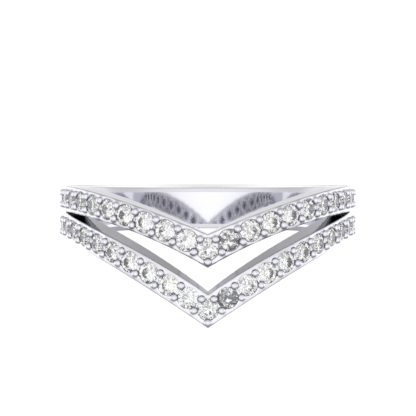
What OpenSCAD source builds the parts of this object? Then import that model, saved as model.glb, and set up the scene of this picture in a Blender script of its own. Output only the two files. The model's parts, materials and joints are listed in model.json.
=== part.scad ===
// Chevron ring: one plain shank that splits at the sides into two V-shaped bands,
// each set with a row of small round stones held by shared beads.
// The ring lies on the straight edge of its shank, tips up, with its axis on +Z and
// the tips of the chevrons towards -Y. All sizes are in millimetres.

/* [Ring] */
// Diameter of the finger hole
finger_diameter = 17.3; // [15:0.1:21]
// Thickness of the metal between the finger hole and the outer wall
wall = 1.25; // [1.15:0.05:1.6]
// Width of the plain shank at the back
shank_width = 3.45; // [3.3:0.05:4]
// Height of the ring at the tip of the high chevron
ring_height = 7.78; // [7.3:0.02:9]
// Depth of the eased edge of the finger hole, taken off the wall
ease_depth = 0.15; // [0.08:0.01:0.2]
// Width of the eased edge of the finger hole, along the ring's axis
ease_width = 0.38; // [0.2:0.02:0.5]

/* [Chevrons] */
// Height of each band along the ring's axis at its tip
band_height = 1.81; // [1.71:0.02:2.01]
// Open gap between the two chevrons at their tips
tip_gap = 1.47; // [0.8:0.01:2]
// Height of the split's end above the straight edge
split_height = 1.65; // [1.6:0.01:1.75]
// Height of the blunt end of the split
split_end = 0.1; // [0.06:0.02:0.2]
// Angle from the tips at which the split ends
split_angle = 66; // [58:1:68]
// Angle from the tips at which the low chevron runs out into the shank's straight edge
low_run_out = 69; // [66:1:76]
// Angle from the tips at which the high chevron runs out into the shank's other edge
high_run_out = 64; // [60:1:70]

/* [Stones] */
// Diameter of a stone
stone_diameter = 1.14; // [1:0.02:1.16]
// Distance between neighbouring stones along their band
stone_pitch = 1.3; // [1.28:0.01:1.4]
// Stones on each side of the stone at a tip
stones_per_arm = 11; // [8:1:12]
// Height of a stone's crown above its girdle
crown_height = 0.17; // [0.14:0.01:0.2]
// Thickness of a stone's girdle
girdle_height = 0.03; // [0.02:0.01:0.05]
// Depth of a stone's point below its girdle
pavilion_depth = 0.48; // [0.44:0.01:0.5]
// Diameter of a stone's table
table_diameter = 0.62; // [0.56:0.02:0.68]
// Depth of a stone's girdle below the outer wall
girdle_sink = 0.05; // [0.03:0.01:0.08]
// Gap between a stone and its seat
seat_gap = 0.03; // [0.02:0.01:0.04]

/* [Setting] */
// Diameter of a bead
bead_diameter = 0.44; // [0.38:0.02:0.48]
// Height of a bead's middle above the outer wall
bead_lift = 0.03; // [0:0.01:0.08]
// Distance of a bead from the middle line of its band
bead_offset = 0.38; // [0.34:0.01:0.42]
// Distance of the bead at a tip from the stone there
tip_bead_offset = 0.69; // [0.64:0.01:0.74]
// Distance of the stone at a tip from the middle of its band, away from the point
tip_stone_drop = 0.1; // [0:0.01:0.12]
// Diameter of the light hole behind each stone
light_hole = 0.62; // [0.5:0.02:0.7]
// Diameter of the light hole where it opens into the finger hole
light_hole_mouth = 0.92; // [0.8:0.02:1.06]
// Depth of the flared mouth of a light hole
mouth_depth = 0.3; // [0.2:0.02:0.4]

/* [Hidden] */
$fn = 96;

// Angle between the sections of the swept solids
section_step = 3;
// Part of the full eased edge that the narrow bands have, and the angle over which it grows
band_ease_share = 0.7;
ease_growth = 18;
// How far a cutting solid runs past the wall that it cuts
overrun = 0.4;

bore_radius = finger_diameter / 2;
outer_radius = bore_radius + wall;
stone_radius = stone_diameter / 2;
table_radius = table_diameter / 2;
degrees_per_mm = 180 / (PI * outer_radius);

// Heights of the four edges at the tips, from the straight edge up
high_tip_bottom = ring_height - band_height;
low_tip_top = high_tip_bottom - tip_gap;
low_tip_bottom = low_tip_top - band_height;

// The four edges: height at the tip, height where the edge has run out, angle at which it
// has run out, share of its fall that is a straight slope, and how hollow the rest is
LOW_BOTTOM = [low_tip_bottom, 0, low_run_out, 0, 2];
LOW_TOP = [low_tip_top, split_height - split_end / 2, split_angle, 0.15, 2.6];
HIGH_BOTTOM = [high_tip_bottom, split_height + split_end / 2, split_angle, 0.39, 2.4];
HIGH_TOP = [ring_height, shank_width, high_run_out, 0, 1.8];

LOW_BAND = [LOW_BOTTOM, LOW_TOP];
HIGH_BAND = [HIGH_BOTTOM, HIGH_TOP];

// Height of an edge at an angle from the tips
function edge_height(edge, angle) =
    let (
        tip = edge[0], side = edge[1], run_out = edge[2], straight = edge[3], hollow = edge[4],
        left = max(0, 1 - abs(angle) / run_out),
        share = straight * left + (1 - straight) * pow(left, hollow)
    )
    side + (tip - side) * share;

// Height of the middle line of a band, and its slope in degrees over the unrolled wall
function middle(band, angle) = (edge_height(band[0], angle) + edge_height(band[1], angle)) / 2;
function slope(band, angle) =
    atan((middle(band, angle) - middle(band, angle + 1)) * degrees_per_mm);

// A point at an angle from the tips, a distance from the ring's axis and a height
function ring_point(angle, radius, height) = [radius * sin(angle), -radius * cos(angle), height];

// Angles of the stones along one arm, each a pitch further along the middle line
function next_angle(band, angle) =
    let (advance = stone_pitch * degrees_per_mm)
    angle + advance * cos(slope(band, angle + advance / 2));
function arm_angles(band, angle, count) =
    count == 0 ? [] :
    let (next = next_angle(band, angle))
    concat([next], arm_angles(band, next, count - 1));

// Places of the stones of one arm: [angle, height]
function arm_stones(band) =
    [for (angle = arm_angles(band, 0, stones_per_arm)) [angle, middle(band, angle)]];
function tip_stone(band) = [0, middle(band, 0) - tip_stone_drop];

// Places of the beads of one arm: a pair between neighbouring stones and one past the last
function arm_beads(band) =
    let (angles = concat([0], arm_angles(band, 0, stones_per_arm + 1)))
    [for (i = [0:stones_per_arm], side = [-1, 1])
        let (
            between = (angles[i] + angles[i + 1]) / 2,
            tilt = slope(band, between)
        )
        [
            between + side * bead_offset * sin(tilt) * degrees_per_mm,
            middle(band, between) + side * bead_offset * cos(tilt)
        ]];
function tip_bead(band) = [0, tip_stone(band)[1] + tip_bead_offset];

// Puts a shape that points along +Z on the outer wall, pointing away from the ring's axis
module on_wall(place, mirrored = false) {
    mirror([mirrored ? 1 : 0, 0, 0])
        rotate([0, 0, place[0]])
            translate([0, -outer_radius, place[1]])
                rotate([90, 0, 0])
                    children();
}

// Solid through a list of sections, each a list of [angle, radius, height] points.
// It either closes on itself or ends in two flat caps.
module swept(sections, closed) {
    count = len(sections);
    corners = len(sections[0]);
    last = closed ? count - 1 : count - 2;
    sides = [for (i = [0:last], k = [0:corners - 1])
        let (j = (i + 1) % count, m = (k + 1) % corners)
        [i * corners + k, i * corners + m, j * corners + m, j * corners + k]];
    caps = closed ? [] : [
        [for (k = [corners - 1:-1:0]) k],
        [for (k = [0:corners - 1]) (count - 1) * corners + k]
    ];
    polyhedron(
        points = [for (section = sections, p = section) ring_point(p[0], p[1], p[2])],
        faces = concat(sides, caps)
    );
}

// Share of the full eased edge at an angle: little on the chevrons, all of it on the shank
function ease_share(angle) =
    band_ease_share + (1 - band_ease_share) * min(1, max(0, (abs(angle) - split_angle) / ease_growth));

// Section of the whole ring, wider than its wall, with both edges of the finger hole eased
function ring_section(angle) =
    let (
        bottom = edge_height(LOW_BOTTOM, angle),
        top = edge_height(HIGH_TOP, angle),
        depth = ease_depth * ease_share(angle),
        width = ease_width * ease_share(angle)
    )
    [
        [angle, bore_radius - depth, bottom + 2 * width],
        [angle, bore_radius + depth, bottom],
        [angle, outer_radius + overrun, bottom],
        [angle, outer_radius + overrun, top],
        [angle, bore_radius + depth, top],
        [angle, bore_radius - depth, top - 2 * width]
    ];

// Section of the open gap between the chevrons
function gap_section(angle) =
    let (bottom = edge_height(LOW_TOP, angle), top = edge_height(HIGH_BOTTOM, angle))
    [
        [angle, bore_radius - overrun, bottom],
        [angle, outer_radius + overrun, bottom],
        [angle, outer_radius + overrun, top],
        [angle, bore_radius - overrun, top]
    ];

module tube() {
    translate([0, 0, -overrun])
        difference() {
            cylinder(h = ring_height + 2 * overrun, r = outer_radius);
            translate([0, 0, -overrun])
                cylinder(h = ring_height + 4 * overrun, r = bore_radius);
        }
}

module ring_body() {
    gap_steps = ceil(split_angle / section_step);
    difference() {
        intersection() {
            tube();
            swept([for (angle = [-180:section_step:180 - section_step]) ring_section(angle)], true);
        }
        swept([for (i = [-gap_steps:gap_steps]) gap_section(i * split_angle / gap_steps)], false);
    }
}

// Space of a stone, its bed in the wall and the light hole behind it
module seat() {
    top = crown_height - girdle_sink + seat_gap;
    rim = stone_radius + seat_gap;
    bed = -girdle_sink - girdle_height - seat_gap;
    hole = light_hole / 2;
    bed_end = bed - (rim - hole) * pavilion_depth / stone_radius;
    mouth_slope = (light_hole_mouth / 2 - hole) / mouth_depth;
    rotate_extrude()
        polygon([
            [0, top],
            [table_radius + seat_gap, top],
            [rim, seat_gap],
            [rim, bed],
            [hole, bed_end],
            [hole, mouth_depth - wall],
            [hole + mouth_slope * (mouth_depth + overrun), -wall - overrun],
            [0, -wall - overrun]
        ]);
}

module bead() {
    translate([0, 0, bead_lift])
        sphere(d = bead_diameter);
}

module band_beads(band) {
    on_wall(tip_bead(band)) bead();
    for (mirrored = [false, true], place = arm_beads(band))
        on_wall(place, mirrored) bead();
}

module band_seats(band) {
    on_wall(tip_stone(band)) seat();
    for (mirrored = [false, true], place = arm_stones(band))
        on_wall(place, mirrored) seat();
}

// One cast piece: shank, both chevrons, the beads and the seats cut for the stones
module ring_casting() {
    color("gainsboro")
        difference() {
            union() {
                ring_body();
                band_beads(LOW_BAND);
                band_beads(HIGH_BAND);
            }
            band_seats(LOW_BAND);
            band_seats(HIGH_BAND);
        }
}

// Round brilliant with its girdle's upper edge at height 0: a table of eight sides, eight
// star, eight kite and sixteen girdle facets above, eight mains and sixteen halves below
module brilliant() {
    mains = 8;
    half = 180 / mains;
    star_share = 0.5;
    half_share = 0.25;
    rim_on_main = stone_radius * cos(half);
    star_radius = (table_radius + (stone_radius - table_radius) * star_share) / cos(half / 2);
    crown_slope = crown_height / (stone_radius - table_radius);
    star_height = crown_slope * (stone_radius - star_radius * cos(half));
    girdle_bottom = -girdle_height;
    half_radius = stone_radius * half_share;
    half_height = girdle_bottom - pavilion_depth * (1 - half_radius * cos(half) / stone_radius);

    function turn(i, radius, height) = [radius * cos(i * half), radius * sin(i * half), height];
    points = concat(
        [for (i = [0:mains - 1]) turn(2 * i, table_radius, crown_height)],
        [for (i = [0:mains - 1]) turn(2 * i + 1, star_radius, star_height)],
        [for (i = [0:2 * mains - 1]) turn(i, stone_radius, 0)],
        [for (i = [0:2 * mains - 1]) turn(i, stone_radius, girdle_bottom)],
        [for (i = [0:mains - 1]) turn(2 * i + 1, half_radius, half_height)],
        [[0, 0, girdle_bottom - pavilion_depth]]
    );
    star = mains;
    upper = 2 * mains;
    lower = 4 * mains;
    inner = 6 * mains;
    point = 7 * mains;
    faces = concat(
        [[for (i = [mains - 1:-1:0]) i]],
        [for (i = [0:mains - 1]) let (n = (i + 1) % mains) [i, n, star + i]],
        [for (i = [0:mains - 1]) let (b = (i + mains - 1) % mains)
            [i, star + i, upper + 2 * i, star + b]],
        [for (i = [0:mains - 1]) [star + i, upper + 2 * i + 1, upper + 2 * i]],
        [for (i = [0:mains - 1]) let (n = (2 * i + 2) % (2 * mains))
            [star + i, upper + n, upper + 2 * i + 1]],
        [for (i = [0:2 * mains - 1]) let (n = (i + 1) % (2 * mains))
            [upper + i, upper + n, lower + n, lower + i]],
        [for (i = [0:mains - 1]) [inner + i, lower + 2 * i, lower + 2 * i + 1]],
        [for (i = [0:mains - 1]) let (n = (2 * i + 2) % (2 * mains))
            [inner + i, lower + 2 * i + 1, lower + n]],
        [for (i = [0:mains - 1]) let (b = (i + mains - 1) % mains)
            [point, inner + b, lower + 2 * i, inner + i]]
    );
    polyhedron(points = points, faces = faces);
}

module seated_stone() {
    translate([0, 0, -girdle_sink])
        brilliant();
}

module band_stones(band) {
    on_wall(tip_stone(band)) seated_stone();
    for (mirrored = [false, true], place = arm_stones(band))
        on_wall(place, mirrored) seated_stone();
}

module low_chevron_stones() {
    color("aliceblue") band_stones(LOW_BAND);
}

module high_chevron_stones() {
    color("lightcyan") band_stones(HIGH_BAND);
}

ring_casting();
low_chevron_stones();
high_chevron_stones();
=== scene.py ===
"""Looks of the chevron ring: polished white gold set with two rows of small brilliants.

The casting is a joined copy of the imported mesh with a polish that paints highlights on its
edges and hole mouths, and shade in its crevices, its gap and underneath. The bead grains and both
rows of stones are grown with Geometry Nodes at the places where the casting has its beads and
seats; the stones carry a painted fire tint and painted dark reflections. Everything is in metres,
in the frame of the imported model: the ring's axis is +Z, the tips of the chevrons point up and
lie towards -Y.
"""

import json
import logging
import math
from dataclasses import dataclass, replace
from enum import Enum
from typing import Any, Iterable, Sequence

import bmesh
import bpy
from bpy.types import Material, Mesh, MeshPolygon, Node, NodeSocket, NodeTree, Object
from mathutils import Matrix, Vector
from mathutils.kdtree import KDTree

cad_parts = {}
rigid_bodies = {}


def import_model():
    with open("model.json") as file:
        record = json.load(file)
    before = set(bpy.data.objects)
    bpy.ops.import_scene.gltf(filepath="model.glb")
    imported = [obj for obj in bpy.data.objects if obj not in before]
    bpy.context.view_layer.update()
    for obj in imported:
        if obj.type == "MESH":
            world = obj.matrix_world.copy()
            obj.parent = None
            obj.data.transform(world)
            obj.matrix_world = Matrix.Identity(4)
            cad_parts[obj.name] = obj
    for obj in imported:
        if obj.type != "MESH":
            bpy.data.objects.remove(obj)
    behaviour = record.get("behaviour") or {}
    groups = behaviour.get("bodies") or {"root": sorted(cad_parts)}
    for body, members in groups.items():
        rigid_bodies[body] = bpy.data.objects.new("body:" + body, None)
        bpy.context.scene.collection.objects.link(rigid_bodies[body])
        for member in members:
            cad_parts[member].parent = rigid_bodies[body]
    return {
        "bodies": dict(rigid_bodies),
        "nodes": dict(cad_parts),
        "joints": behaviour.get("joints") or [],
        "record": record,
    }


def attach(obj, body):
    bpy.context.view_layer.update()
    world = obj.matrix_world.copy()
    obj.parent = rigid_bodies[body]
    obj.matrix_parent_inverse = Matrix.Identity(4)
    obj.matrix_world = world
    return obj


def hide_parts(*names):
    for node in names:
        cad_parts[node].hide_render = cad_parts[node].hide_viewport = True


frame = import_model()

LOG = logging.getLogger("chevron_ring")
ROOT = "root"
MM = 0.001

# Names of the attributes that the finishes read
# the gap's sides, where the polish paints shade
GAP_SIDE = "gap_side"
HOLE_DEPTH = "hole_depth"
BAND_MARK = "band_mark"
EDGE_MARK = "edge_mark"
# the painted fire tint of each stone facet
FACET_FIRE = "facet_fire"
# marks the stone with painted dark shards
DARK_STONE = "dark_stone"

# Values of the hole depth and of the band mark
SEAT, MOUTH, LIGHT_HOLE = 0.39, 0.5, 1.0
LOW_WALL, HIGH_WALL = 0.5, 1.0
MARK_SLACK = 0.1

Colour = tuple[float, float, float, float]
Triple = tuple[float, float, float]
Span = tuple[float, float]
WHITE: Colour = (1.0, 1.0, 1.0, 1.0)
BLACK: Colour = (0.0, 0.0, 0.0, 1.0)


class Slot(Enum):
    """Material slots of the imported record."""

    WHITE_GOLD = "white_gold"
    STONES = "stones"


# Node trees


class TreeMaker:
    """Adds nodes to a shader or geometry tree and joins them.

    Args:
        tree: The node tree that the nodes go into.
    """

    column_width: int = 40
    row_height: int = 160
    rows: int = 6

    def __init__(self, tree: NodeTree) -> None:
        """Starts at the tree's first column."""
        self.tree = tree
        self.column = 0

    def add(self, kind: str, settings: dict[str, Any] | None = None, **values: Any) -> Node:
        """Adds one node.

        Args:
            kind: Type name of the node.
            settings: Properties of the node itself.
            **values: What goes into its sockets, as in fill.

        Returns:
            The new node.
        """
        node = self.tree.nodes.new(kind)
        node.location = (self.column * self.column_width, -(self.column % self.rows) * self.row_height)
        self.column += 1
        for name, value in (settings or {}).items():
            setattr(node, name, value)
        self.fill(node, **values)
        return node

    def fill(self, node: Node, **values: Any) -> None:
        """Feeds a node's sockets.

        Args:
            node: The node.
            **values: What goes in, by the socket's name with spaces as underscores: a signal,
                which is linked, or a plain value.
        """
        for name, value in values.items():
            socket = self.socket(node.inputs, name)
            if isinstance(value, Signal):
                self.tree.links.new(value.socket, socket)
            else:
                socket.default_value = value

    @staticmethod
    def socket(sockets: Iterable[NodeSocket], name: str) -> NodeSocket:
        """Finds a socket.

        Args:
            sockets: A node's inputs or outputs.
            name: Its name with spaces as underscores, or its place when the name is like s0, s1.

        Returns:
            The enabled socket of that name, or the one at that place.
        """
        listed = list(sockets)
        if name[0] == "s" and name[1:].isdigit():
            return listed[int(name[1:])]
        wanted = name.replace("_", " ").lower()
        return next(s for s in listed if s.enabled and s.name.lower() == wanted)

    def read(self, node: Node, output: str) -> "Signal":
        """What comes out of a node's socket, named as in socket."""
        return Signal(self, self.socket(node.outputs, output))

    def out(self, kind: str, output: str, settings: dict[str, Any] | None = None, **values: Any) -> "Signal":
        """Adds a node, as add does, and reads one of its outputs."""
        return self.read(self.add(kind, settings, **values), output)

    def math(self, operation: str, first: Any, second: Any = 0.0, third: Any = 0.0,
             clamp: bool = False) -> "Signal":
        """Adds a Math node, held between 0 and 1 on demand."""
        return self.out("ShaderNodeMath", "s0", {"operation": operation, "use_clamp": clamp},
                        s0=first, s1=second, s2=third)

    def vector(self, operation: str, first: Any, second: Any = (0.0, 0.0, 0.0)) -> "Signal":
        """Adds a Vector Math node and reads its vector, or its number for dot and length."""
        output = "Value" if operation in ("DOT_PRODUCT", "LENGTH") else "Vector"
        return self.out("ShaderNodeVectorMath", output, {"operation": operation}, s0=first, s1=second)

    def scaled(self, vector: Any, factor: Any) -> "Signal":
        """Multiplies a vector by a number."""
        return self.out("ShaderNodeVectorMath", "Vector", {"operation": "SCALE"}, s0=vector, Scale=factor)

    def parts(self, vector: Any) -> list["Signal"]:
        """The three numbers of a vector."""
        apart = self.add("ShaderNodeSeparateXYZ", Vector=vector)
        return [self.read(apart, axis) for axis in "XYZ"]

    def blend(self, share: Any, first: Any, second: Any) -> "Signal":
        """Mixes two colours, of which the share is the second one's."""
        return self.out("ShaderNodeMix", "Result", {"data_type": "RGBA", "clamp_factor": True},
                        Factor=share, A=first, B=second)

    def ramp(self, share: Any, tones: Sequence[Span], steps: str = "LINEAR") -> "Signal":
        """Adds a grey Color Ramp.

        Args:
            share: The number that it reads, from 0 to 1.
            tones: Its stops, each a place and a grey.
            steps: How it goes from one stop to the next.

        Returns:
            The grey, as a colour.
        """
        node = self.add("ShaderNodeValToRGB", s0=share)
        node.color_ramp.interpolation = steps
        stops = node.color_ramp.elements
        while len(stops) < len(tones):
            stops.new(1.0)
        for stop, (place, grey) in zip(stops, tones):
            stop.position = place
            stop.color = (grey, grey, grey, 1.0)
        return self.read(node, "Color")

    def noise(self, vector: Any, scale: float, detail: float, roughness: float) -> "Signal":
        """Adds a Noise Texture and reads its grey value."""
        return self.out("ShaderNodeTexNoise", "s0", Vector=vector, Scale=scale, Detail=detail,
                        Roughness=roughness)

    def chance(self, vector: Any, scale: float) -> "Signal":
        """A random number from 0 to 1 for each cell of a Voronoi Texture."""
        cells = self.out("ShaderNodeTexVoronoi", "Color", Vector=vector, Scale=scale)
        return self.out("ShaderNodeSeparateColor", "s0", Color=cells)

    def attribute(self, name: str, output: str = "Fac") -> "Signal":
        """What an attribute of the piece holds."""
        return self.out("ShaderNodeAttribute", output, {"attribute_name": name})

    def place(self) -> "Signal":
        """The place on the piece, in millimetres."""
        return self.scaled(self.out("ShaderNodeTexCoord", "Object"), 1.0 / MM)


@dataclass(frozen=True)
class Signal:
    """What comes out of a node. Reckoning with it adds more nodes to its tree."""

    maker: TreeMaker
    socket: NodeSocket

    def __add__(self, other: Any) -> "Signal":
        """Adds a number or a signal."""
        return self.maker.math("ADD", self, other)

    def __sub__(self, other: Any) -> "Signal":
        """Takes away a number or a signal."""
        return self.maker.math("SUBTRACT", self, other)

    def __rsub__(self, other: float) -> "Signal":
        """What is left of a number without this."""
        return self.maker.math("SUBTRACT", other, self)

    def __mul__(self, other: Any) -> "Signal":
        """Multiplies by a number or a signal."""
        return self.maker.math("MULTIPLY", self, other)

    def near(self, value: Any, slack: float = MARK_SLACK) -> "Signal":
        """1 where this is about a value, otherwise 0."""
        return self.maker.math("COMPARE", self, value, slack)

    def ranged(self, low: float, high: float, to_low: float, to_high: float,
               smooth: bool = False) -> "Signal":
        """Maps this from one range to another, held at its ends."""
        steps = "SMOOTHSTEP" if smooth else "LINEAR"
        return self.maker.out("ShaderNodeMapRange", "Result", {"clamp": True, "interpolation_type": steps},
                              Value=self, From_Min=low, From_Max=high, To_Min=to_low, To_Max=to_high)

    def share(self, low: float, high: float, smooth: bool = False) -> "Signal":
        """Maps this to 0 at low and 1 at high, held there."""
        return self.ranged(low, high, 0.0, 1.0, smooth)


def new_tree(kind: str, name: str, inputs: Sequence[tuple[str, str, Any]],
             outputs: Sequence[tuple[str, str]]) -> tuple[TreeMaker, dict[str, Signal]]:
    """Starts a node group with named sockets.

    Args:
        kind: Type name of the tree.
        name: Name of the tree.
        inputs: Name, kind and first value of each input.
        outputs: Name and kind of each output.

    Returns:
        The maker of the tree, and what comes in, by name.
    """
    tree = bpy.data.node_groups.new(name, kind)
    for label, sort, value in inputs:
        socket = tree.interface.new_socket(name=label, in_out="INPUT", socket_type=f"NodeSocket{sort}")
        if value is not None:
            socket.default_value = value
    for label, sort in outputs:
        tree.interface.new_socket(name=label, in_out="OUTPUT", socket_type=f"NodeSocket{sort}")
    maker = TreeMaker(tree)
    entry = maker.add("NodeGroupInput")
    return maker, {label: maker.read(entry, label) for label, _, _ in inputs}


def surface_material(name: str) -> tuple[Material, TreeMaker, Node]:
    """Starts a material with one Principled shader.

    Args:
        name: Name of the material.

    Returns:
        The material, the maker of its tree and its Principled node.
    """
    material = bpy.data.materials.new(name)
    material.use_nodes = True
    shader = next(n for n in material.node_tree.nodes if n.type == "BSDF_PRINCIPLED")
    return material, TreeMaker(material.node_tree), shader


# Finishes


@dataclass(frozen=True)
class WheelPolish:
    """Marks of a polishing wheel: faint lines round the ring and soft waves in the metal."""

    line_scale: float = 26.0
    line_stretch: float = 0.55
    smear_scale: float = 0.55
    wave_scale: float = 1.1

    def tree(self) -> NodeTree:
        """Builds the node group that the gold's finishes share.

        Returns:
            A group that takes a place in millimetres and gives Lines, Smears and Waves, each 0 to 1.
        """
        maker, given = new_tree("ShaderNodeTree", "wheel_polish", [("Place", "Vector", None)],
                                [("Lines", "Float"), ("Smears", "Float"), ("Waves", "Float")])
        place = given["Place"]
        x, y, z = maker.parts(place)
        radius = maker.math("SQRT", maker.math("POWER", x, 2.0) + maker.math("POWER", y, 2.0))
        unrolled = maker.out("ShaderNodeCombineXYZ", "Vector", Y=radius, Z=z,
                             X=maker.math("ARCTAN2", x, y) * self.line_stretch)
        maker.add("NodeGroupOutput",
                  Lines=maker.noise(unrolled, self.line_scale, detail=3.0, roughness=0.6),
                  Smears=maker.noise(place, self.smear_scale, detail=3.0, roughness=0.55),
                  Waves=maker.noise(place, self.wave_scale, detail=1.0, roughness=0.4))
        return maker.tree


@dataclass(frozen=True)
class Spot:
    """What the polish knows of a place on the metal."""

    maker: TreeMaker
    place: Signal  # in millimetres
    turn: Signal  # from the tips, in radians
    smooth: Signal  # the surface's normal
    eased: Signal  # the normal with the edges eased
    corner: Signal  # 1 at an edge, 0 away from it
    at_edge: Signal  # 1 by the bands' own edges, 0 by the seats
    band: Signal  # mark of the chevrons' outer walls
    in_gap: Signal  # 1 on the sides of the gap between the chevrons
    in_hole: Signal  # depth mark of the seats, mouths and light holes
    # hidden is the occlusion mask, which paints the crevice shade and roughens the crevices
    hidden: Signal  # how much of it lies in a crevice


@dataclass(frozen=True)
class PolishedWhiteGold:
    """Bright polish on white gold, duller in crevices, with painted highlights and painted shade."""

    name: str = "polished_white_gold"
    colour: Colour = (0.775, 0.77, 0.825, 1.0)
    # painted shade: the colour laid into crevices by the occlusion mask
    crevice_shade: Colour = (0.26, 0.26, 0.29, 1.0)
    # painted highlight: the lighter colour laid on edges, seats and hole mouths
    edge: Colour = (0.88, 0.88, 0.91, 1.0)
    smear: Colour = (0.70, 0.70, 0.76, 1.0)
    # painted shade: the dark colour of the sides of the gap between the chevrons
    gap_side: Triple = (0.17, 0.17, 0.19)
    # painted shade: near black laid inside the light holes
    hole: Colour = (0.05, 0.05, 0.06, 1.0)
    samples: int = 8
    own_crevices: bool = True
    # reach and limits of the occlusion mask for the painted crevice shade
    crevice_reach: float = 0.32 * MM
    crevice_limits: Span = (0.62, 0.18)
    crevice_share: float = 0.85
    corner_limits: Span = (0.985, 0.90)
    edge_radius: float = 0.23 * MM
    edge_turn: float = 2.0
    edge_share: float = 0.6
    high_edge_turn: float = 0.45
    rim_turn: float = 0.6
    rim_limits: Span = (0.3, 0.6)
    # how the painted gap shade lightens along the ring
    gap_turn: Span = (6.0, 30.0)
    gap_light: Span = (0.62, 2.15)
    # painted shade and highlight that scale the colour: under the ring, on edges and near the wall's ends
    under_limits: Span = (-0.2, -0.6)
    under_loss: float = 0.12
    lean_limits: Span = (0.05, 0.30)
    under_edge_loss: float = 0.25
    gap_edge_loss: float = 0.30
    low_edge_loss: float = 0.35
    high_edge_gain: float = 0.20
    faced_limits: Span = (0.90, 0.98)
    field_turn: Span = (55.0, 67.0)
    field_loss: float = 0.04
    mark_limits: Span = (0.35, 0.7)
    smear_share: float = 0.10
    roughness: float = 0.055
    line_roughness: Span = (-0.012, 0.03)
    crevice_roughness: float = 0.18
    edge_gloss: float = 0.02
    wave_height: float = 0.0012 * MM
    line_height: float = 0.00008 * MM
    # painted highlight: the hole mouths are mostly not metal, so their light colour shows bright
    mouth_metal: float = 0.15

    def material(self, polish: NodeTree) -> Material:
        """Builds the material.

        Args:
            polish: The wheel polish group.

        Returns:
            The new material.
        """
        material, maker, shader = surface_material(self.name)
        spot = self.spot(maker)
        marks = maker.add("ShaderNodeGroup", {"node_tree": polish}, Place=spot.place)
        smears, lines, waves = (maker.read(marks, mark) for mark in ("Smears", "Lines", "Waves"))
        rough = lines.ranged(*self.mark_limits, *self.line_roughness) + self.roughness
        rough = rough + spot.hidden * self.crevice_roughness
        wave = maker.out("ShaderNodeBump", "Normal", Height=waves, Distance=self.wave_height,
                         Strength=1.0, Normal=spot.eased)
        line = maker.out("ShaderNodeBump", "Normal", Height=lines, Distance=self.line_height,
                         Strength=1.0, Normal=wave)
        # The base colour carries the painted highlights and painted shade.
        maker.fill(shader, Normal=line,
                   Base_Color=maker.scaled(self.tone(spot, smears), self.painted_light_share(spot)),
                   Roughness=maker.math("SUBTRACT", rough, spot.corner * self.edge_gloss, clamp=True),
                   Metallic=spot.in_hole.near(MOUTH).ranged(0.0, 1.0, 1.0, self.mouth_metal))
        return material

    def spot(self, maker: TreeMaker) -> Spot:
        """Adds the nodes that tell what a place on the metal is like.

        Args:
            maker: Maker of the material's tree.

        Returns:
            What they tell.
        """
        place = maker.place()
        x, y, _ = maker.parts(place)
        smooth = maker.out("ShaderNodeNewGeometry", "Normal")
        rounded = maker.out("ShaderNodeBevel", "Normal", {"samples": self.samples}, Radius=self.edge_radius)
        corner = maker.vector("DOT_PRODUCT", rounded, smooth).share(*self.corner_limits, smooth=True)
        band = maker.attribute(BAND_MARK)
        at_edge = maker.attribute(EDGE_MARK).share(*self.rim_limits)
        turned = band.near(HIGH_WALL).ranged(0.0, 1.0, self.edge_turn, self.edge_turn * self.high_edge_turn)
        turned = turned * at_edge.ranged(0.0, 1.0, self.rim_turn, 1.0)
        eased = maker.scaled(maker.vector("SUBTRACT", rounded, smooth), corner * turned)
        open_sky = maker.out("ShaderNodeAmbientOcclusion", "AO",
                             {"samples": self.samples, "only_local": self.own_crevices},
                             Distance=self.crevice_reach)
        return Spot(
            maker=maker, place=place, smooth=smooth, corner=corner, band=band, at_edge=at_edge,
            turn=maker.math("ABSOLUTE", maker.math("ARCTAN2", x, y * -1.0)),
            eased=maker.vector("NORMALIZE", maker.vector("ADD", smooth, eased)),
            in_gap=maker.attribute(GAP_SIDE), in_hole=maker.attribute(HOLE_DEPTH),
            hidden=open_sky.ranged(*self.crevice_limits, 0.0, self.crevice_share, smooth=True))

    def tone(self, spot: Spot, smears: Signal) -> Signal:
        """Colour of the metal, with painted highlights and shade, before the painted shade that scales it.

        Args:
            spot: What the place is like.
            smears: Smears of the wheel polish.

        Returns:
            The colour.
        """
        maker = spot.maker
        # Painted highlight: the edges lighter.
        tone = maker.blend(spot.corner * self.edge_share, self.colour, self.edge)
        # Painted shade on the sides of the gap between the chevrons.
        gap_light = spot.turn.ranged(*map(math.radians, self.gap_turn), *self.gap_light)
        tone = maker.blend(spot.in_gap, tone, maker.scaled(self.gap_side, gap_light))
        # Painted highlight: the seats and hole mouths take the light edge colour.
        rim_highlight = spot.in_hole.share(0.0, MOUTH)
        # Painted shade: crevices darken by the occlusion mask, except on the seats and mouths.
        tone = maker.blend(spot.hidden * (1.0 - rim_highlight), tone, self.crevice_shade)
        tone = maker.blend(rim_highlight, tone, self.edge)
        # Painted shade: the light holes near black.
        tone = maker.blend(spot.in_hole.share(MOUTH, LIGHT_HOLE), tone, self.hole)
        return maker.blend(smears.ranged(*self.mark_limits, 0.0, self.smear_share), tone, self.smear)

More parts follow.
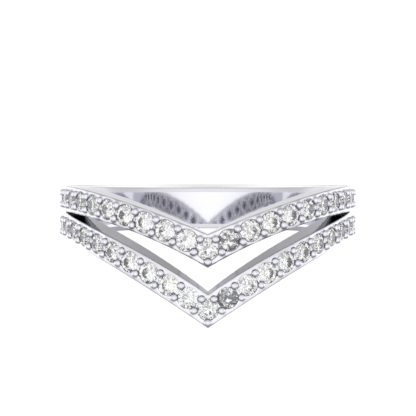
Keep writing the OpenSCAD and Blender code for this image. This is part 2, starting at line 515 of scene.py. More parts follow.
    def painted_light_share(self, spot: Spot) -> Signal:
        """Painted shade and highlight: the share of the colour kept at each place.

        Args:
            spot: What the place is like.

        Returns:
            The share: less under the ring, at the low chevron's upper edge and round the
            stones, more at the high chevron's upper edge.
        """
        maker = spot.maker
        lean = maker.parts(spot.eased)[2]
        edge = spot.corner * spot.at_edge
        rising = edge * lean.share(*self.lean_limits)
        falling = edge * lean.share(*(-limit for limit in self.lean_limits))
        under = maker.parts(spot.smooth)[2].share(*self.under_limits)
        outward = maker.vector("NORMALIZE", maker.vector("MULTIPLY", spot.place, (1.0, 1.0, 0.0)))
        faced = maker.vector("DOT_PRODUCT", outward, spot.smooth).share(*self.faced_limits)
        in_field = (maker.math("SUBTRACT", faced, spot.corner, clamp=True)
                    * spot.turn.ranged(*map(math.radians, self.field_turn), 1.0, 0.0))
        in_gap_loss = self.under_edge_loss + self.gap_edge_loss
        edge_loss = spot.in_gap.ranged(0.0, 1.0, self.under_edge_loss, in_gap_loss)
        # Painted shade below, on downward edges and near the ends; painted highlight on the high edge.
        share = 1.0 - under * self.under_loss
        share = share - falling * edge_loss - in_field * self.field_loss
        share = share - rising * spot.band.near(LOW_WALL) * self.low_edge_loss
        return share + rising * spot.band.near(HIGH_WALL) * self.high_edge_gain


@dataclass(frozen=True)
class BrilliantGlass:
    """Clear cut stone with painted light: a faint fire tint on each facet, and dark reflections."""

    name: str = "brilliant_stone"
    refraction: float = 2.42
    # share of the painted fire tint
    painted_fire: float = 0.10
    clear: Colour = WHITE
    # painted reflection: the near black of stones seen in a first mirror of the metal
    mirrored: Colour = (0.02, 0.02, 0.03, 1.0)
    first_mirror: float = 1.5
    # painted dark reflection: black shards on the dark star stone
    shard_scale: float = 6.0
    shard_share: float = 0.38
    haze_scale: float = 9.0
    haze_limits: Span = (0.55, 0.8)
    haze_roughness: float = 0.015

    def material(self) -> Material:
        """Builds the material from the painted fire tints that the row's tree stores on the facets.

        Returns:
            The new material.
        """
        material, maker, shader = surface_material(self.name)
        place = maker.place()
        rays = maker.add("ShaderNodeLightPath")
        # Painted dark reflection: stones in a first mirror and the dark star's shards turn near black.
        early = maker.math("LESS_THAN", maker.read(rays, "Ray Depth"), self.first_mirror)
        dark = maker.math("LESS_THAN", maker.chance(place, self.shard_scale), self.shard_share)
        # Painted fire: a faint random tint on each facet.
        tone = maker.blend(self.painted_fire, self.clear, maker.attribute(FACET_FIRE, "Color"))
        painted_dark = maker.math("MAXIMUM", maker.read(rays, "Is Glossy Ray") * early,
                            dark * maker.attribute(DARK_STONE))
        haze = maker.noise(place, self.haze_scale, detail=2.0, roughness=0.5)
        maker.fill(shader, Base_Color=maker.blend(painted_dark, tone, self.mirrored),
                   Roughness=haze.ranged(*self.haze_limits, 0.0, self.haze_roughness),
                   IOR=self.refraction, Transmission_Weight=1.0)
        return material


@dataclass(frozen=True)
class StudioPaper:
    """Matt white paper that the ring lies on."""

    name: str = "studio_paper"
    colour: Colour = (0.93, 0.93, 0.935, 1.0)
    tooth: Colour = (0.945, 0.945, 0.95, 1.0)
    tooth_scale: float = 900.0
    tooth_limits: Span = (0.3, 0.7)
    tooth_height: float = 0.01 * MM
    tooth_strength: float = 0.2
    # painted shadow: its colour, middle and reach
    shade: Colour = (0.89, 0.89, 0.90, 1.0)
    painted_shadow_middle: Triple = (0.0, 5.0 * MM, 0.0)
    painted_shadow_reach: Span = (5.5 * MM, 28.0 * MM)
    glow: float = 0.3

    def material(self) -> Material:
        """Builds the material: white with a fine tooth, and a painted soft shadow where the ring lies.

        Returns:
            The new material.
        """
        material, maker, shader = surface_material(self.name)
        place = maker.out("ShaderNodeTexCoord", "Object")
        tooth = maker.noise(place, self.tooth_scale, detail=3.0, roughness=0.6)
        # Painted shadow: a soft darker ellipse, where the glow is taken away too.
        across, along = self.painted_shadow_reach
        away = maker.vector("MULTIPLY", maker.vector("SUBTRACT", place, self.painted_shadow_middle),
                            (1 / across, 1 / along, 0.0))
        shaded = maker.vector("LENGTH", away).ranged(0.0, 1.0, 1.0, 0.0, smooth=True)
        tone = maker.blend(tooth.share(*self.tooth_limits), self.colour, self.tooth)
        bump = maker.out("ShaderNodeBump", "Normal", Height=tooth, Distance=self.tooth_height,
                         Strength=self.tooth_strength)
        maker.fill(shader, Base_Color=maker.blend(shaded, tone, self.shade), Normal=bump,
                   Roughness=1.0, Specular_IOR_Level=0.0,
                   Emission_Color=maker.blend(shaded, WHITE, BLACK), Emission_Strength=self.glow)
        return material


# Where the stones and beads sit, in millimetres


@dataclass(frozen=True)
class Wall:
    """The ring's outer wall."""

    finger_diameter: float = 17.3
    thickness: float = 1.25

    @property
    def bore(self) -> float:
        """Radius of the finger hole."""
        return self.finger_diameter / 2

    @property
    def outer_radius(self) -> float:
        """Radius of the outer wall."""
        return self.bore + self.thickness

    @property
    def degrees_per_mm(self) -> float:
        """Turn about the ring's axis for a millimetre along the outer wall."""
        return 180 / (math.pi * self.outer_radius)


@dataclass(frozen=True)
class Edge:
    """One edge of a chevron band, falling from the tip to where it runs out."""

    tip: float
    side: float
    run_out: float
    straight: float
    hollow: float

    def left(self, angle: float) -> float:
        """Share of the way to the run-out that is left at an angle from the tips, in degrees."""
        return max(0.0, 1 - abs(angle) / self.run_out)

    def height(self, angle: float) -> float:
        """Height of the edge.

        Args:
            angle: Angle from the tips, in degrees.

        Returns:
            The height, in millimetres.
        """
        left = self.left(angle)
        share = self.straight * left + (1 - self.straight) * left ** self.hollow
        return self.side + (self.tip - self.side) * share

    def rise(self, angle: float, radius: float, arm: int) -> float:
        """Rise of the edge for a step round the ring, at a distance from its axis.

        Args:
            angle: Angle from the tips, in degrees.
            radius: Distance from the axis, in millimetres.
            arm: 1 on the arm at +X, -1 on the other.

        Returns:
            The rise over the length of the step, towards growing angles.
        """
        left = self.left(angle)
        if left == 0.0:
            return 0.0
        steepness = self.straight + (1 - self.straight) * self.hollow * left ** (self.hollow - 1)
        return -arm * (self.tip - self.side) * steepness / self.run_out * math.degrees(1) / radius


@dataclass(frozen=True)
class Station:
    """A place on the outer wall: angle from the tips in degrees, and height."""

    angle: float
    height: float

    def mirrored(self) -> "Station":
        """The same place on the other arm."""
        return Station(-self.angle, self.height)

    def point(self, radius: float) -> Vector:
        """The place as a point in metres, at a distance from the axis in millimetres."""
        turn = math.radians(self.angle)
        return Vector((radius * math.sin(turn), -radius * math.cos(turn), self.height)) * MM

    def outward(self) -> Vector:
        """Direction away from the ring's axis."""
        turn = math.radians(self.angle)
        return Vector((math.sin(turn), -math.cos(turn), 0.0))


@dataclass(frozen=True)
class ChevronBand:
    """A V-shaped band with its stones and beads."""

    name: str
    lower: Edge
    upper: Edge
    wall: Wall = Wall()
    stone_pitch: float = 1.3
    stones_per_arm: int = 11
    tip_stone_drop: float = 0.1
    tip_bead_offset: float = 0.69
    bead_offset: float = 0.38

    def middle(self, angle: float) -> float:
        """Height of the band's middle line at an angle."""
        return (self.lower.height(angle) + self.upper.height(angle)) / 2

    def slope(self, angle: float) -> float:
        """Fall of the middle line over the unrolled wall, in radians."""
        return math.atan((self.middle(angle) - self.middle(angle + 1)) * self.wall.degrees_per_mm)

    def arm_angles(self, count: int) -> list[float]:
        """Angles of the stones along one arm, each a pitch further along the middle line.

        Args:
            count: How many stones there are.

        Returns:
            Their angles from the tip, in degrees.
        """
        advance = self.stone_pitch * self.wall.degrees_per_mm
        angles: list[float] = []
        angle = 0.0
        for _ in range(count):
            angle += advance * math.cos(self.slope(angle + advance / 2))
            angles.append(angle)
        return angles

    def both_arms(self, tip_offset: float, arm: list[Station]) -> list[Station]:
        """Places on both arms, after one at a height over the middle line's own tip."""
        return [Station(0.0, self.middle(0.0) + tip_offset), *arm, *(s.mirrored() for s in arm)]

    def stones(self) -> list[Station]:
        """Places of all the band's stones, the one at the tip first."""
        arm = [Station(angle, self.middle(angle)) for angle in self.arm_angles(self.stones_per_arm)]
        return self.both_arms(-self.tip_stone_drop, arm)

    def beads(self) -> list[Station]:
        """Places of all the band's beads, the one at the tip first.

        Returns:
            The places, with a bead on either side between each two stones.
        """
        angles = [0.0, *self.arm_angles(self.stones_per_arm + 1)]
        arm: list[Station] = []
        for first, second in zip(angles, angles[1:]):
            between = (first + second) / 2
            tilt = self.slope(between)
            for side in (-1, 1):
                arm.append(Station(
                    between + side * self.bead_offset * math.sin(tilt) * self.wall.degrees_per_mm,
                    self.middle(between) + side * self.bead_offset * math.cos(tilt)))
        return self.both_arms(self.tip_bead_offset - self.tip_stone_drop, arm)


LOW_CHEVRON = ChevronBand("low_chevron", Edge(2.69, 0.0, 69, 0.0, 2.0), Edge(4.50, 1.60, 66, 0.15, 2.6))
HIGH_CHEVRON = ChevronBand("high_chevron", Edge(5.97, 1.70, 66, 0.39, 2.4), Edge(7.78, 3.45, 64, 0.0, 1.8))


# Meshes


def placed(name: str, data: bpy.types.ID) -> Object:
    """Makes an object and puts it in the scene.

    Args:
        name: Name of the object.
        data: Its mesh or camera.

    Returns:
        The new object.
    """
    new = bpy.data.objects.new(name, data)
    bpy.context.scene.collection.objects.link(new)
    return new


def store(mesh: Mesh, name: str, domain: str, values: Sequence[float], kind: str = "FLOAT") -> None:
    """Stores an attribute on a mesh.

    Args:
        mesh: The mesh.
        name: Name of the attribute.
        domain: What it belongs to: POINT, CORNER or FACE.
        values: Its values in the mesh's order, those of vectors end to end.
        kind: Its type.
    """
    key = "vector" if kind == "FLOAT_VECTOR" else "value"
    mesh.attributes.new(name, kind, domain).data.foreach_set(key, values)


def angle_of(point: Vector) -> float:
    """Angle of a point from the tips, in degrees."""
    return math.degrees(math.atan2(point.x, -point.y))


def station_cloud(name: str, stations: Sequence[Station], radius: float) -> Object:
    """Makes a mesh of loose points that know which way is outwards.

    Args:
        name: Name of the object.
        stations: Places on the wall.
        radius: Distance of the points from the ring's axis, in millimetres.

    Returns:
        The object, with a vector attribute called outward and each point's place in the list
        as a whole number called station.
    """
    mesh = bpy.data.meshes.new(name)
    mesh.from_pydata([s.point(radius) for s in stations], [], [])
    store(mesh, "outward", "POINT", [part for s in stations for part in s.outward()], "FLOAT_VECTOR")
    store(mesh, "station", "POINT", list(range(len(stations))), "INT")
    return placed(name, mesh)


def growing_tree(name: str, inputs: Sequence[tuple[str, str, Any]]) -> tuple[TreeMaker, dict[str, Signal]]:
    """Starts a Geometry Nodes tree that turns places into pieces.

    Args:
        name: Name of the tree.
        inputs: Name, kind and first value of its own inputs, before Finish and after Places.

    Returns:
        The maker of the tree, and what comes in, by name.
    """
    return new_tree("GeometryNodeTree", name,
                    [("Places", "Geometry", None), *inputs, ("Finish", "Material", None)],
                    [("Pieces", "Geometry")])


def random_value(maker: TreeMaker, kind: str, low: Any, high: Any, seed: Signal) -> Signal:
    """A random value of a kind, other for each place or face."""
    return maker.out("FunctionNodeRandomValue", "Value", {"data_type": kind}, Min=low, Max=high, Seed=seed)


def facing_outwards(maker: TreeMaker) -> Signal:
    """Turn that lays a piece's own Z along the way outwards from its place."""
    outward = maker.out("GeometryNodeInputNamedAttribute", "Attribute", {"data_type": "FLOAT_VECTOR"},
                        Name="outward")
    return maker.out("FunctionNodeAlignRotationToVector", "Rotation", {"axis": "Z"}, Vector=outward)


def grow(maker: TreeMaker, given: dict[str, Signal], pattern: Signal, own: dict[str, Signal],
         marks: Sequence[tuple[str, str, Signal]], smooth: bool) -> NodeTree:
    """Sets a pattern at each place, makes the copies real and dresses them.

    Args:
        maker: Maker of the tree.
        given: What comes in, by name.
        pattern: The pattern's geometry.
        own: Each copy's own Rotation, and its Scale if it has one.
        marks: Name, type and value of each attribute that the faces carry.
        smooth: True for round faces, False for flat ones.

    Returns:
        The finished tree.
    """
    row = maker.out("GeometryNodeInstanceOnPoints", "Instances", Points=given["Places"],
                    Instance=pattern, **own)
    solid = maker.out("GeometryNodeRealizeInstances", "Geometry", Geometry=row)
    for name, kind, value in marks:
        solid = maker.out("GeometryNodeStoreNamedAttribute", "Geometry",
                          {"data_type": kind, "domain": "FACE"}, Geometry=solid, Name=name, Value=value)
    shaded = maker.out("GeometryNodeSetShadeSmooth", "Geometry", {"domain": "FACE"}, Geometry=solid,
                       Shade_Smooth=smooth)
    done = maker.out("GeometryNodeSetMaterial", "Geometry", Geometry=shaded, Material=given["Finish"])
    maker.add("NodeGroupOutput", Pieces=done)
    return maker.tree


def make_plain(piece: Object, tree: NodeTree, values: dict[str, Any]) -> None:
    """Runs a Geometry Nodes tree on an object and leaves it as a plain mesh, with no modifier.

    Args:
        piece: The object with the places.
        tree: The tree.
        values: What goes into the tree's named inputs.
    """
    modifier = piece.modifiers.new("grow", "NODES")
    modifier.node_group = tree
    identifiers = {item.name: item.identifier for item in tree.interface.items_tree
                   if item.item_type == "SOCKET" and item.in_out == "INPUT"}
    for name, value in values.items():
        modifier[identifiers[name]] = value
    piece.update_tag()
    bpy.context.view_layer.update()
    finished = bpy.data.meshes.new_from_object(piece.evaluated_get(bpy.context.evaluated_depsgraph_get()))
    finished.name = piece.name
    piece.modifiers.remove(modifier)
    places = piece.data
    piece.data = finished
    bpy.data.meshes.remove(places)


# Sub-assemblies


@dataclass(frozen=True)
class BrilliantCut:
    """Proportions of a round brilliant, in millimetres, with its girdle's upper edge at 0."""

    diameter: float = 1.2
    table: float = 0.62
    crown: float = 0.17
    girdle: float = 0.03
    pavilion: float = 0.48
    mains: int = 8
    star_share: float = 0.5
    half_share: float = 0.25

    def mesh(self, name: str = "brilliant_cut") -> Mesh:
        """Builds one stone: table, stars, kites, girdle facets, mains and halves.

        Args:
            name: Name of the mesh.

        Returns:
            A closed mesh in metres, pointing along +Z.
        """
        radius, table, half = self.diameter / 2, self.table / 2, math.pi / self.mains
        star_radius = (table + (radius - table) * self.star_share) / math.cos(half / 2)
        star_height = self.crown / (radius - table) * (radius - star_radius * math.cos(half))
        half_radius = radius * self.half_share
        half_height = -self.girdle - self.pavilion * (1 - half_radius * math.cos(half) / radius)

        def ring(count: int, first: int, step: int, distance: float, height: float) -> list[Vector]:
            """Points round the stone at steps of half a main facet."""
            turns = [(first + step * i) * half for i in range(count)]
            return [Vector((distance * math.cos(turn), distance * math.sin(turn), height)) * MM
                    for turn in turns]

        mains, both = self.mains, 2 * self.mains
        points = [*ring(mains, 0, 2, table, self.crown), *ring(mains, 1, 2, star_radius, star_height),
                  *ring(both, 0, 1, radius, 0.0), *ring(both, 0, 1, radius, -self.girdle),
                  *ring(mains, 1, 2, half_radius, half_height),
                  Vector((0.0, 0.0, -self.girdle - self.pavilion)) * MM]
        star, upper, lower, inner, culet = mains, both, 4 * mains, 6 * mains, 7 * mains
        faces: list[list[int]] = [list(range(mains))]
        for i in range(mains):
            before, after = (i - 1) % mains, (i + 1) % mains
            next_upper = (2 * i + 2) % both
            faces += [
                [i, star + i, after],
                [i, star + before, upper + 2 * i, star + i],
                [star + i, upper + 2 * i, upper + 2 * i + 1],
                [star + i, upper + 2 * i + 1, upper + next_upper],
                [inner + i, lower + 2 * i + 1, lower + 2 * i],
                [inner + i, lower + next_upper, lower + 2 * i + 1],
                [culet, inner + i, lower + 2 * i, inner + before],
            ]
        for i in range(both):
            after = (i + 1) % both
            faces.append([upper + i, lower + i, lower + after, upper + after])
        mesh = bpy.data.meshes.new(name)
        mesh.from_pydata(points, [], faces)
        mesh.update()
        return mesh


@dataclass(frozen=True)
class StoneRow:
    """One chevron's row of brilliants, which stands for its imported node."""

    band: ChevronBand
    node: str
    cut: BrilliantCut = BrilliantCut()
    girdle_sink: float = 0.05
    # palest painted fire tint
    palest_fire: float = 0.35
    seed: int = 3
    # the stone that gets painted dark shards
    dark_star: int = 12

    def tree(self) -> NodeTree:
        """Builds the tree that sets a stone at each place, each turned its own way, with painted fire.

        Returns:
            The tree, with inputs Stone, Seed, Dark star, the stone with painted dark shards, and Finish.
        """
        maker, given = growing_tree(f"{self.node}_tree", [
            ("Stone", "Object", None), ("Seed", "Int", self.seed), ("Dark star", "Int", self.dark_star)])
        seed = given["Seed"]
        own_turn = maker.out("FunctionNodeAxisAngleToRotation", "Rotation", Axis=(0.0, 0.0, 1.0),
                             Angle=random_value(maker, "FLOAT", 0.0, math.tau, seed))
        turned = maker.out("FunctionNodeRotateRotation", "Rotation", {"rotation_space": "LOCAL"},
                           Rotation=facing_outwards(maker), Rotate_By=own_turn)
        stone = maker.out("GeometryNodeObjectInfo", "Geometry", {"transform_space": "ORIGINAL"},
                          Object=given["Stone"])
        # Painted fire: a random pale tint for each facet.
        hue = random_value(maker, "FLOAT_VECTOR", (self.palest_fire,) * 3, (1.0, 1.0, 1.0), seed)
        # Marks the dark star stone for its painted dark shards.
        station = maker.out("GeometryNodeInputNamedAttribute", "Attribute", {"data_type": "INT"},
                            Name="station")
        own = station.near(given["Dark star"], slack=0.5)
        return grow(maker, given, stone, {"Rotation": turned},
                    [(FACET_FIRE, "FLOAT_COLOR", hue), (DARK_STONE, "FLOAT", own)], smooth=False)

    def build(self, finish: Material) -> Object:
        """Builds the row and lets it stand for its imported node.

        Args:
            finish: The stones' material.

        Returns:
            The finished piece.
        """
        pattern = bpy.data.objects.new("pattern_stone", self.cut.mesh())
        radius = self.band.wall.outer_radius - self.girdle_sink
        piece = station_cloud(f"{self.band.name}_brilliants", self.band.stones(), radius)
        make_plain(piece, self.tree(), {"Stone": pattern, "Finish": finish, "Seed": self.seed,
                                        "Dark star": self.dark_star})
        pattern_mesh = pattern.data
        bpy.data.objects.remove(pattern)
        bpy.data.meshes.remove(pattern_mesh)
        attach(piece, ROOT)
        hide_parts(self.node)
        return piece


@dataclass(frozen=True)
class BeadGrains:
    """The grains raised beside the stones, burnished round, over the casting's own beads."""

    bands: tuple[ChevronBand, ...]
    diameter: float = 0.45
    growth: float = 1.03
    lift: float = 0.03
    segments: int = 20
    rings: int = 12
    seed: int = 11

    def tree(self) -> NodeTree:
        """Builds the tree that raises a grain at each place.

        Returns:
            The tree, with inputs Grain radius, Seed and Finish.
        """
        maker, given = growing_tree("bead_grains_tree", [
            ("Grain radius", "Float", 0.2 * MM), ("Seed", "Int", self.seed)])
        grain = maker.out("GeometryNodeMeshUVSphere", "Mesh", Segments=self.segments, Rings=self.rings,
                          Radius=given["Grain radius"])
        own_size = random_value(maker, "FLOAT", 1.0, self.growth, given["Seed"])
        own = {"Rotation": facing_outwards(maker), "Scale": own_size}
        return grow(maker, given, grain, own, [], smooth=True)

    def build(self, finish: Material) -> Object:
        """Builds the grains of all bands as one piece.

        Args:
            finish: The grains' material.

        Returns:
            The finished piece.
        """
        places = [station for band in self.bands for station in band.beads()]
        piece = station_cloud("bead_grains", places, self.bands[0].wall.outer_radius + self.lift)
        make_plain(piece, self.tree(), {"Grain radius": self.diameter / 2 * MM, "Finish": finish,
                                        "Seed": self.seed})
        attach(piece, ROOT)
        return piece


@dataclass(frozen=True)
class EasedEdge:
    """The slant between the finger hole and one side of the ring, narrower on the chevrons."""

    depth: float = 0.15
    width: float = 0.38
    band_share: float = 0.7
    growth_start: float = 66.0
    growth: float = 18.0

    def share(self, angle: float) -> float:
        """Share of the full slant at an angle from the tips."""
        grown_by = min(1.0, max(0.0, (abs(angle) - self.growth_start) / self.growth))
        return self.band_share + (1 - self.band_share) * grown_by


@dataclass(frozen=True)
class RingCasting:
    """The one cast piece: shank, both chevrons, beads and seats.

    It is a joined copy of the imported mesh, with the same shape. The polish runs smoothly over
    the swept sides of the bands, and is a little hollow in the finger hole behind the tips.
    """

    node: str = "ring_casting"
    wall: Wall = Wall()
    ease: EasedEdge = EasedEdge()
    bands: tuple[ChevronBand, ...] = (LOW_CHEVRON, HIGH_CHEVRON)
    mouth: float = 0.92
    mouth_depth: float = 0.3
    mouth_slack: float = 0.04
    floor_slack: float = 0.01
    seat: float = 1.2
    seat_depth: float = 0.3
    slack: float = 0.02
    wall_slack: float = 0.004
    bore_slack: float = 0.005
    band_skin: float = 0.05
    join_distance: float = 2e-7
    upright: float = 0.05
    swept: float = 0.1
    flat_match: float = 0.99995
    faired_angle: float = 14.0
    hollow_turn: float = 0.235
    hollow_radius: float = 75.5
    hollow_middle: float = 0.48
    hollow_full: float = 26.0
    hollow_end: float = 44.0

    def joined(self, source: Mesh) -> tuple[Mesh, list[Vector]]:
        """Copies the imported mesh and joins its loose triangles, each corner keeping its normal.

        Args:
            source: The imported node's mesh.

        Returns:
            The copy, and the normal of each of its corners.
        """
        mesh = source.copy()
        mesh.name = "polished_casting"
        values = [0.0] * (3 * len(source.loops))
        source.corner_normals.foreach_get("vector", values)
        store(mesh, "own_normal", "CORNER", values, "FLOAT_VECTOR")
        shape = bmesh.new()
        shape.from_mesh(mesh)
        bmesh.ops.remove_doubles(shape, verts=shape.verts, dist=self.join_distance)
        shape.to_mesh(mesh)
        shape.free()
        values = [0.0] * (3 * len(mesh.loops))
        mesh.attributes["own_normal"].data.foreach_get("vector", values)
        for spent in ("own_normal", "custom_normal"):
            if spent in mesh.attributes:
                mesh.attributes.remove(mesh.attributes[spent])
        return mesh, [Vector(values[i:i + 3]) for i in range(0, len(values), 3)]

    def hollowed(self, place: Vector) -> Vector:
        """Normal of the polished finger hole behind the tips.

        Args:
            place: A point of the hole's wall, in metres.

        Returns:
            The normal, turned a little from the wall's own.
        """
        turn = math.atan2(place.x, place.y)
        run = self.hollow_end - self.hollow_full
        spread = min(1.0, max(0.0, (self.hollow_end - abs(math.degrees(turn))) / run))
        share = spread * spread * (3 - 2 * spread)
        faced = turn * (1 - self.hollow_turn * share)
        lean = (place.z / MM - self.hollow_middle) / self.hollow_radius * share
        return Vector((-math.sin(faced), -math.cos(faced), -lean)).normalized()

    def swept_normals(self, place: Vector, arm: int) -> list[tuple[Vector, float]]:
        """Normals that the swept sides have at a point, if the point lies on them.

        Args:
            place: The point, in metres.
            arm: 1 on the arm at +X, -1 on the other.

        Returns:
            The normals of the band sides at this height, and of the two slants, each with
            1.0 if it is a side of the gap between the chevrons.
        """
        radius = math.hypot(place.x, place.y) / MM
        turn = math.atan2(place.x, -place.y)
        angle = math.degrees(turn)
        out = Vector((math.sin(turn), -math.cos(turn), 0.0))
        along = Vector((math.cos(turn), math.sin(turn), 0.0))
        up = Vector((0.0, 0.0, 1.0))
        gap_edges = (self.bands[0].upper, self.bands[-1].lower)
        normals: list[tuple[Vector, float]] = []
        for band in self.bands:
            for edge, facing in ((band.lower, -1), (band.upper, 1)):
                if abs(place.z / MM - edge.height(angle)) < self.slack:
                    side = up - along * edge.rise(angle, radius, arm)
                    normals.append((facing * side, float(edge in gap_edges)))
        share = self.ease.share(angle)
        depth, width = self.ease.depth * share, self.ease.width * share
        if radius < self.wall.bore + depth + self.slack:
            for edge, facing in ((self.bands[0].lower, -1), (self.bands[-1].upper, 1)):
                side = up - along * edge.rise(angle, radius, arm)
                normals.append((facing * depth * side - width * out, 0.0))
        return [(normal.normalized(), gap) for normal, gap in normals]

    def unrolled(self, angle: float, height: float) -> Vector:
        """A place on the wall, by its angle in degrees and its height, laid out flat."""
        return Vector((angle / self.wall.degrees_per_mm, height, 0.0))

    def seat_places(self) -> KDTree:
        """Gathers the stones' places on the unrolled wall.

        Returns:
            The places, to be searched by distance.
        """
        stations = [station for band in self.bands for station in band.stones()]
        places = KDTree(len(stations))
        for i, station in enumerate(stations):
            places.insert(self.unrolled(station.angle, station.height), i)
        places.balance()
        return places

    def hole_depth(self, face: MeshPolygon, seats: KDTree) -> float:
        """Depth mark of a face.

        Args:
            face: The face.
            seats: The stones' places.

        Returns:
            SEAT round a stone, MOUTH in the wide mouth of its light hole, LIGHT_HOLE in
            between, and 0.0 everywhere else.
        """
        centre = face.center / MM
        radius = math.hypot(centre.x, centre.y)
        outer = self.wall.outer_radius
        if not self.wall.bore + self.bore_slack < radius < outer - self.wall_slack:
            return 0.0
        away = seats.find(self.unrolled(angle_of(centre), centre.z))[2]
        if radius > outer - self.seat_depth:
            return SEAT if away < self.seat / 2 + self.slack else 0.0
        if away < self.mouth / 2 + self.mouth_slack:
            return MOUTH if radius < self.wall.bore + self.mouth_depth - self.floor_slack else LIGHT_HOLE
        return 0.0

    def band_mark(self, face: MeshPolygon) -> float:
        """Band mark of a face.

        Args:
            face: The face.

        Returns:
            LOW_WALL or HIGH_WALL on the outer wall of that chevron, 0.0 everywhere else.
        """
        centre = face.center / MM
        angle = angle_of(centre)
        gap_floor, gap_roof = self.bands[0].upper, self.bands[-1].lower
        on_wall = math.hypot(centre.x, centre.y) > self.wall.outer_radius - self.band_skin
        if abs(angle) > gap_floor.run_out or abs(face.normal.z) > self.upright or not on_wall:
            return 0.0
        return LOW_WALL if centre.z < (gap_floor.height(angle) + gap_roof.height(angle)) / 2 else HIGH_WALL

    def edge_mark(self, point: Vector) -> float:
        """Edge mark of a point.

        Args:
            point: The point, in metres.

        Returns:
            1.0 on a band's own edge, 0.0 elsewhere.
        """
        angle, height = angle_of(point / MM), point.z / MM
        edges = [edge for band in self.bands for edge in (band.lower, band.upper)]
        return float(min(abs(height - edge.height(angle)) for edge in edges) < self.slack)

    def mark(self, mesh: Mesh) -> None:
        """Marks where the polish paints highlights and shade and eases edges: seats, holes, walls and edges.

        Args:
            mesh: The joined copy.
        """
        seats = self.seat_places()
        store(mesh, HOLE_DEPTH, "FACE", [self.hole_depth(face, seats) for face in mesh.polygons])
        store(mesh, BAND_MARK, "FACE", [self.band_mark(face) for face in mesh.polygons])
        store(mesh, EDGE_MARK, "POINT", [self.edge_mark(vertex.co) for vertex in mesh.vertices])

    def faired(self, normal: Vector, place: Vector, arm: int) -> tuple[Vector, float] | None:
        """Normal of the swept side that a flat face's corner belongs to.

        Args:
            normal: The face's own normal.
            place: The corner, in metres.
            arm: 1 on the arm at +X, -1 on the other.

        Returns:
            The normal with 1.0 on a side of the gap, or nothing if no swept side is near.
        """
        found = self.swept_normals(place, arm)
        best = max(found, key=lambda entry: entry[0].dot(normal), default=None)
        if best and best[0].dot(normal) > math.cos(math.radians(self.faired_angle)):
            return best
        return None

    def shade(self, mesh: Mesh, own: list[Vector]) -> None:
        """Gives each corner the normal of the polished metal.

        Args:
            mesh: The joined copy.
            own: The corners' normals so far.
        """
        places = [vertex.co.copy() for vertex in mesh.vertices]
        radii = [math.hypot(place.x, place.y) for place in places]
        on_bore, on_wall = ([abs(radius - wall * MM) < self.wall_slack * MM for radius in radii]
                            for wall in (self.wall.bore, self.wall.outer_radius))
        gap_sides = [0.0] * len(mesh.polygons)
        for face in mesh.polygons:
            normal, centre = face.normal, face.center
            corners_of = list(zip(face.loop_indices, face.vertices))
            upright = abs(normal.z) < self.upright
            if upright and all(on_bore[vertex] for vertex in face.vertices):
                if centre.y > 0:
                    for i, vertex in corners_of:
                        own[i] = self.hollowed(places[vertex])
            elif upright and all(on_wall[vertex] for vertex in face.vertices):
                for i, vertex in corners_of:
                    own[i] = (places[vertex] * Vector((1.0, 1.0, 0.0))).normalized()
            elif (abs(normal.z) > self.swept
                  and all(own[i].dot(normal) > self.flat_match for i in face.loop_indices)):
                for i, vertex in corners_of:
                    faired = self.faired(normal, places[vertex], 1 if centre.x > 0 else -1)
                    if faired:
                        own[i] = faired[0]
                        gap_sides[face.index] = max(gap_sides[face.index], faired[1])
        # Marks the gap's sides, where the polish paints shade.
        store(mesh, GAP_SIDE, "FACE", gap_sides)
        mesh.shade_smooth()
        mesh.normals_split_custom_set(own)

    def build(self, packed: dict[str, Any], finish: Material) -> Object:
        """Builds the polished casting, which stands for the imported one.

        Args:
            finish: The polish.

        Returns:
            The finished piece.
        """
        mesh, own = self.joined(packed["nodes"][self.node].data)
        self.mark(mesh)
        self.shade(mesh, own)
        mesh.materials.clear()
        mesh.materials.append(finish)
        piece = placed("polished_casting", mesh)
        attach(piece, ROOT)
        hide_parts(self.node)
        return piece


# Studio


@dataclass(frozen=True)
class GreyCard:
    """A card held in the light tent, which puts its grey in what mirrors that way."""

    way: Triple
    stretch: Triple
    full: float
    end: float
    grey: float
    blue: float = 1.03

    def held(self, maker: TreeMaker, way: Signal, light: Signal) -> Signal:
        """Lays the card over the tent's light.

        Args:
            maker: Maker of the world's tree.
            way: The direction that is looked in.
            light: The light without the card.

        Returns:
            The light with the card.
        """
        apart = maker.vector("MULTIPLY", maker.vector("SUBTRACT", way, self.way), self.stretch)
        share = maker.vector("LENGTH", apart).ranged(self.full, self.end, 1.0, 0.0, smooth=True)
        return maker.blend(share, light, (self.grey, self.grey, self.grey * self.blue, 1.0))

    def pair(self) -> tuple["GreyCard", "GreyCard"]:
        """The card, and its like on the other side of the ring."""
        return self, replace(self, way=(-self.way[0], *self.way[1:]))


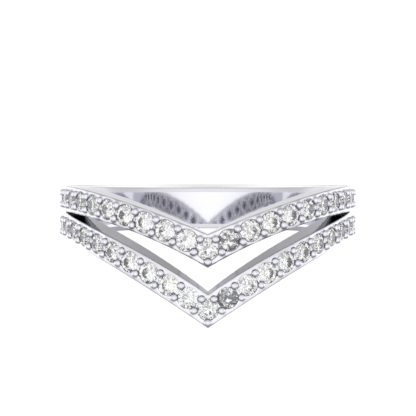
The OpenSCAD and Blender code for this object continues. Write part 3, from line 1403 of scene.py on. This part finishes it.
@dataclass(frozen=True)
class Studio:
    """White paper, a white tent of light and the camera in front of the tips."""

    focal_pixels: float = 598.0
    frame_pixels: float = 416.0
    sensor: float = 36.0
    distance: float = 42.1
    eye_height: float = 0.48
    horizon: float = 193.4
    centre: float = 207.8
    nearest: float = 1.0
    furthest: float = 20000.0
    floor_reach: float = 2500.0
    floor_sides: int = 64
    backdrop: Colour = (1.05, 1.05, 1.05, 1.0)
    tent_tones: tuple[Span, ...] = (
        (0.0, 1.3), (0.06, 1.15), (0.22, 1.02), (0.45, 0.82), (0.70, 0.78), (0.93, 0.86), (1.0, 0.89))
    cards: tuple[GreyCard, ...] = (
        GreyCard((0.0, 0.20, 0.95), (0.5, 1.0, 1.0), 0.35, 1.10, 0.36),
        GreyCard((0.0, 0.25, -0.97), (0.6, 1.0, 1.0), 0.35, 0.78, 0.60),
        *GreyCard((-0.85, 0.52, 0.0), (1.0, 0.8, 1.8), 0.50, 0.90, 1.35).pair())
    later_cards: tuple[GreyCard, ...] = GreyCard(
        (-0.67, -0.74, 0.0), (1.0, 1.0, 0.8), 0.28, 0.34, 0.72).pair()
    later_mirror: float = 2.5
    gem_cards: tuple[GreyCard, ...] = GreyCard(
        (-0.85, 0.5, 0.0), (1.0, 1.0, 0.8), 0.30, 1.05, 1.50).pair()
    spark_scale: float = 2.6
    spark_tones: tuple[Span, ...] = ((0.0, 0.45), (0.22, 0.75), (0.36, 0.98), (0.50, 1.12), (0.72, 1.35))

    def camera(self) -> None:
        """Places the camera, turned half round about its view so that the tips point down."""
        data = bpy.data.cameras.new("photo_camera")
        data.sensor_width = self.sensor
        data.lens = self.focal_pixels / self.frame_pixels * self.sensor
        data.clip_start = self.nearest * MM
        data.clip_end = self.furthest * MM
        camera = placed("photo_camera", data)
        half = self.frame_pixels / 2
        forward = Vector(((self.centre - half) / self.focal_pixels, 1.0,
                          (half - self.horizon) / self.focal_pixels)).normalized()
        right = forward.cross(Vector((0.0, 0.0, -1.0))).normalized()
        up = right.cross(forward)
        turn = Matrix((right, up, -forward)).transposed().to_4x4()
        camera.matrix_world = Matrix.Translation(Vector((0.0, -self.distance, self.eye_height)) * MM) @ turn
        bpy.context.scene.camera = camera

    def floor(self, paper: Material) -> None:
        """Lays the paper under the ring.

        Args:
            paper: The paper's material.
        """
        reach = self.floor_reach * MM
        turns = [math.tau * i / self.floor_sides for i in range(self.floor_sides)]
        mesh = bpy.data.meshes.new("studio_floor")
        mesh.from_pydata([(reach * math.cos(turn), reach * math.sin(turn), 0.0) for turn in turns],
                         [], [list(range(self.floor_sides))])
        mesh.materials.append(paper)
        floor = placed("studio_floor", mesh)
        floor.visible_glossy = False
        floor.visible_transmission = False

    def tent(self) -> None:
        """Makes the light: white behind the ring, and a soft tent for what the metal mirrors."""
        world = bpy.data.worlds.new("light_tent")
        world.use_nodes = True
        world.node_tree.nodes.clear()
        maker = TreeMaker(world.node_tree)
        way = maker.out("ShaderNodeTexCoord", "Generated")
        rays = maker.add("ShaderNodeLightPath")

        def lit(light: Signal, cards: Sequence[GreyCard]) -> Signal:
            """Holds cards in a light, one over the other.

            Args:
                light: The light without them.
                cards: The cards, the furthest one first.

            Returns:
                The light with them.
            """
            for card in cards:
                light = card.held(maker, way, light)
            return light

        tent = maker.ramp(maker.parts(way)[1].share(-1.0, 1.0), self.tent_tones)
        later = maker.math("GREATER_THAN", maker.read(rays, "Ray Depth"), self.later_mirror)
        tent = lit(maker.blend(later, tent, lit(tent, self.later_cards)), self.cards)
        sparks = maker.ramp(maker.chance(way, self.spark_scale), self.spark_tones, "CONSTANT")
        light = maker.blend(maker.read(rays, "Is Transmission Ray"), tent, lit(sparks, self.gem_cards))
        light = maker.blend(maker.read(rays, "Is Diffuse Ray"), light, WHITE)
        light = maker.blend(maker.read(rays, "Is Camera Ray"), light, self.backdrop)
        glow = maker.out("ShaderNodeBackground", "Background", Color=light, Strength=1.0)
        maker.add("ShaderNodeOutputWorld", Surface=glow)
        bpy.context.scene.world = world
        bpy.context.scene.view_settings.view_transform = "Standard"


# The whole ring


def report(piece: Object) -> None:
    """Logs what a finished piece is made of."""
    LOG.info("%s: %d points, %d faces, finish %s", piece.name, len(piece.data.vertices),
             len(piece.data.polygons), [slot.name for slot in piece.material_slots])


def main(packed: dict[str, Any]) -> None:
    """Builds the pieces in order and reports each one.
    """
    logging.basicConfig(level=logging.INFO, format="%(name)s %(message)s")
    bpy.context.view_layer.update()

    polish = WheelPolish().tree()
    gold = PolishedWhiteGold().material(polish)
    # The grains' polish also paints crevice shade where the casting hides them.
    grain_gold = PolishedWhiteGold("burnished_white_gold", own_crevices=False, crevice_reach=0.16 * MM,
                                   edge_radius=0.03 * MM, edge_turn=0.0).material(polish)
    glass = BrilliantGlass().material()

    pieces = [
        RingCasting().build(packed, gold),
        BeadGrains((LOW_CHEVRON, HIGH_CHEVRON)).build(grain_gold),
        StoneRow(LOW_CHEVRON, "low_chevron_stones", seed=3).build(glass),
        StoneRow(HIGH_CHEVRON, "high_chevron_stones", seed=8).build(glass),
    ]
    for piece in pieces:
        report(piece)

    studio = Studio()
    studio.camera()
    studio.floor(StudioPaper().material())
    studio.tent()


if __name__ == "__main__":
    main(frame)
